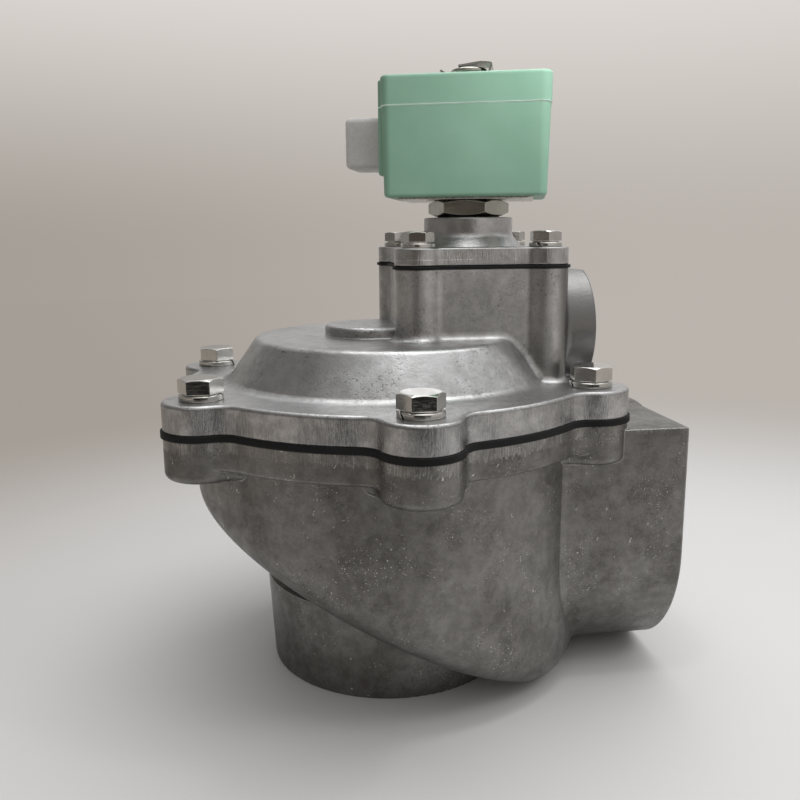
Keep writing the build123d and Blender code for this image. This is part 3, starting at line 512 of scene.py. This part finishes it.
def makeThread(port, settings, material, slot):
    pitch = settings["pitch"]
    crest, root = port["crest"], port["root"]
    flank = (1.0 - settings["crestPart"] - settings["rootPart"]) / 2
    turns = int(port["depth"] / pitch) + 4
    shape = bmesh.new()
    profile = []
    for turn in range(turns):
        start = (turn - 2) * pitch
        for along, radius in ((0.0, root), (flank, crest), (flank + settings["crestPart"], crest),
                              (2 * flank + settings["crestPart"], root)):
            profile.append(shape.verts.new((radius, 0, start + along * pitch)))
    edges = [shape.edges.new(pair) for pair in zip(profile, profile[1:])]
    bmesh.ops.spin(shape, geom=profile + edges, cent=(0, 0, 0), axis=(0, 0, 1), steps=settings["steps"],
                   angle=2 * math.pi, dvec=(0, 0, pitch / settings["steps"]), use_merge=False)
    bmesh.ops.remove_doubles(shape, verts=shape.verts, dist=1e-6)
    ends = (settings["set"], port["depth"])
    for level, side in zip(ends, (-1, 1)):
        bmesh.ops.bisect_plane(shape, geom=shape.verts[:] + shape.edges[:] + shape.faces[:],
                               plane_co=(0, 0, level), plane_no=(0, 0, side), clear_outer=True)
    for vert in shape.verts:
        lead = root - vert.co.z
        if lead > vert.co.xy.length:
            vert.co.xy *= lead / vert.co.xy.length
    rims = []
    for level in ends:
        loop = [e for e in shape.edges if all(abs(v.co.z - level) < 1e-7 for v in e.verts)]
        grown = bmesh.ops.extrude_edge_only(shape, edges=loop)["geom"]
        for vert in [g for g in grown if isinstance(g, bmesh.types.BMVert)]:
            vert.co.xy *= (root + settings["wall"]) / vert.co.xy.length
        rims += [g for g in grown if isinstance(g, bmesh.types.BMEdge)
                 and all(abs(v.co.xy.length - root - settings["wall"]) < 1e-6 for v in g.verts)]
    bmesh.ops.bridge_loops(shape, edges=rims)
    bmesh.ops.recalc_face_normals(shape, faces=shape.faces)
    shape.transform(portPlace(port))
    mesh = bpy.data.meshes.new(port["name"])
    shape.to_mesh(mesh)
    shape.free()
    mesh.shade_smooth()
    mesh.set_sharp_from_angle(angle=math.radians(settings["sharpDeg"]))
    return finishPiece(port["name"], mesh, "housing", slot, material)


machined = makeCasting("machinedBore", castings["bore"])
# The solenoid's hexagon, turned to where it was tightened
hexTurnDeg = -22.2


def turnHexagon(shape, node):
    low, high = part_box(node)
    middle = Vector(((low[0] + high[0]) / 2, (low[1] + high[1]) / 2, 0))
    turn = Matrix.Rotation(math.radians(hexTurnDeg), 3, "Z")
    bmesh.ops.rotate(shape, verts=shape.verts, cent=middle, matrix=turn)
    shading = shape.loops.layers.float_vector["shading"]
    for face in shape.faces:
        for corner in face.loops:
            corner[shading] = turn @ corner[shading]


replaceNode("valve_body", "bodyCasting", openBores)
replaceNode("main_cover", "coverCasting", openBores)
replaceNode("solenoid_base", "solenoidHexagon", turnHexagon)
for port in ports:
    makeThread(port, threadSettings, machined, slotOf[port["node"]])
print("ports threaded")

# Stage: a pale floor whose far part glows in the backdrop's colours as painted light, darker at the left,
# and soft light from above and from the right
stageSettings = {
    "floorRadius": 2.0, "floorColour": (0.74, 0.735, 0.73), "floorRough": 0.55, "cardRough": 0.9,
    "wallLeft": (0.375, 0.340, 0.305), "wallRight": (0.49, 0.455, 0.418), "wallTop": (0.79, 0.75, 0.72),
    "wallTurn": (-0.4, 0.5), "wallRise": (-0.02, 0.36),
    "pool": (-0.12, 0.08, 0.0), "fadeFrom": 0.20, "fadeTo": 0.62,
    "lights": [  # name, place, aimed at, size, watts, whether gloss shows it
        ("ceilingLight", (0.10, 0.06, 0.62), (0.02, 0.0, 0.1), 0.50, 1.5, True),
        ("keyLight", (0.34, -0.22, 0.42), (0.03, 0.0, 0.16), 0.16, 0.3, False),
        ("coilLight", (0.058, -0.078, 0.250), (0.045, -0.02, 0.205), 0.02, 0.045, False),
        ("fillLight", (-0.40, -0.35, 0.40), (0.0, 0.0, 0.15), 0.30, 0.10, False),
    ],
    "cards": [  # name, place, size across and up, colour
        ("lowCard", (-0.04, -0.44, 0.045), (0.60, 0.09), (0.012, 0.011, 0.010)),
        ("levelCard", (-0.11, -0.45, 0.205), (0.29, 0.21), (0.10, 0.085, 0.070)),
    ],
}


def makeFloor(settings):
    shape = bmesh.new()
    bmesh.ops.create_circle(shape, cap_ends=True, segments=96, radius=settings["floorRadius"])
    mesh = bpy.data.meshes.new("floor")
    shape.to_mesh(mesh)
    shape.free()
    floor = bpy.data.objects.new("floor", mesh)
    scene.collection.objects.link(floor)
    material, tree, shader, where = startMaterial("paleFloor")
    fromPool = vectorMath(tree, "ADD", {0: where["Object"], 1: settings["pool"]})
    far = vectorMath(tree, "LENGTH", {0: fromPool}, "Value")
    across = split(tree, vectorMath(tree, "NORMALIZE", {0: where["Object"]}))["X"]
    horizon = blendColours(tree, ramp(tree, across, *settings["wallTurn"]),
                           settings["wallLeft"], settings["wallRight"])
    # Painted light: away from the lit pool the floor glows in the backdrop's colours, darker at the left
    # than at the right, instead of being lit
    glow = put(tree, "ShaderNodeEmission", {"Color": horizon, "Strength": 1.0})
    fade = ramp(tree, far, settings["fadeFrom"], settings["fadeTo"])
    merge = put(tree, "ShaderNodeMixShader", {"Fac": fade})
    tree.links.new(shader.outputs["BSDF"], merge.inputs[1])
    tree.links.new(glow.outputs["Emission"], merge.inputs[2])
    tree.links.new(merge.outputs["Shader"], tree.nodes["Material Output"].inputs["Surface"])
    shader.inputs["Base Color"].default_value = (*settings["floorColour"], 1.0)
    shader.inputs["Roughness"].default_value = settings["floorRough"]
    dress(floor, material)


# Dark cards on the camera's side, which only the gloss sees: they give the screws their dark faces
def makeCards(settings):
    for name, place, (across, up), colour in settings["cards"]:
        shape = bmesh.new()
        bmesh.ops.create_grid(shape, x_segments=1, y_segments=1, size=0.5,
                              matrix=Matrix.Translation(place) @ Matrix.Rotation(math.pi / 2, 4, "X")
                              @ Matrix.Diagonal((across, up, 1.0, 1.0)))
        mesh = bpy.data.meshes.new(name)
        shape.to_mesh(mesh)
        shape.free()
        card = bpy.data.objects.new(name, mesh)
        scene.collection.objects.link(card)
        for ray in ("visible_camera", "visible_diffuse", "visible_shadow", "visible_transmission"):
            setattr(card, ray, False)
        material, _, shader, _ = startMaterial(name + "Paint")
        shader.inputs["Base Color"].default_value = (*colour, 1.0)
        shader.inputs["Roughness"].default_value = settings["cardRough"]
        dress(card, material)


def makeLights(settings):
    for name, place, target, size, watts, mirrored in settings["lights"]:
        data = bpy.data.lights.new(name, "AREA")
        data.shape = "SQUARE"
        data.size = size
        data.energy = watts
        light = bpy.data.objects.new(name, data)
        light.location = place
        light.rotation_euler = (Vector(target) - Vector(place)).to_track_quat("-Z", "Y").to_euler()
        light.visible_camera = False
        light.visible_glossy = mirrored
        scene.collection.objects.link(light)


# The room that the metal mirrors: bright above, less so at the right, dim at the left
roomSettings = {
    "top": (1.0, 1.0, 1.01), "topLeft": (0.22, 0.213, 0.206), "left": (0.17, 0.162, 0.153),
    "right": (0.46, 0.44, 0.42), "front": (0.60, 0.57, 0.545), "frontLeft": (0.13, 0.11, 0.095),
    "back": (0.42, 0.40, 0.38), "backRight": (0.74, 0.715, 0.685), "strength": 0.85,
    # Where each blend runs, along the direction's own X, Y or Z
    "sideTurn": (-0.7, 0.7), "topTurn": (-0.75, 0.0), "backTurn": (-0.20, 0.35), "backRise": (0.45, 0.90),
    "topRise": (0.10, 0.70), "frontTurn": (-0.75, -0.35), "frontRise": (-0.30, -0.80),
    "frontTop": (0.85, 0.45),
}


def makeRoom(settings, stage):
    world = bpy.data.worlds.new("softRoom")
    scene.world = world
    world.use_nodes = True
    tree = world.node_tree
    heading = put(tree, "ShaderNodeTexCoord", {}).outputs["Generated"]
    axes = split(tree, heading)
    ahead = reckon(tree, "MULTIPLY", ramp(tree, axes["Y"], *settings["frontRise"]),
                   ramp(tree, axes["Z"], *settings["frontTop"]))

    def acrossBlend(turn, first, second):
        return blendColours(tree, ramp(tree, axes["X"], *turn), first, second)

    colour = acrossBlend(settings["sideTurn"], settings["left"], settings["right"])
    ceiling = acrossBlend(settings["topTurn"], settings["topLeft"], settings["top"])
    back = acrossBlend(settings["backTurn"], settings["back"], settings["backRight"])
    colour = blendColours(tree, ramp(tree, axes["Y"], *settings["backRise"]), colour, back)
    colour = blendColours(tree, ramp(tree, axes["Z"], *settings["topRise"]), colour, ceiling)
    front = acrossBlend(settings["frontTurn"], settings["frontLeft"], settings["front"])
    colour = blendColours(tree, ahead, colour, front)
    seen = put(tree, "ShaderNodeLightPath", {}).outputs["Is Camera Ray"]
    room = tree.nodes["Background"]
    room.inputs["Strength"].default_value = settings["strength"]
    tree.links.new(colour, room.inputs["Color"])
    wallColour = acrossBlend(stage["wallTurn"], stage["wallLeft"], stage["wallRight"])
    wallColour = blendColours(tree, ramp(tree, axes["Z"], *stage["wallRise"]), wallColour, stage["wallTop"])
    wall = put(tree, "ShaderNodeBackground", {"Color": wallColour, "Strength": 1.0})
    merge = put(tree, "ShaderNodeMixShader", {"Fac": seen})
    tree.links.new(room.outputs["Background"], merge.inputs[1])
    tree.links.new(wall.outputs["Background"], merge.inputs[2])
    tree.links.new(merge.outputs["Shader"], tree.nodes["World Output"].inputs["Surface"])


makeFloor(stageSettings)
makeCards(stageSettings)
makeLights(stageSettings)
makeRoom(roomSettings, stageSettings)
print("stage and lights ready")
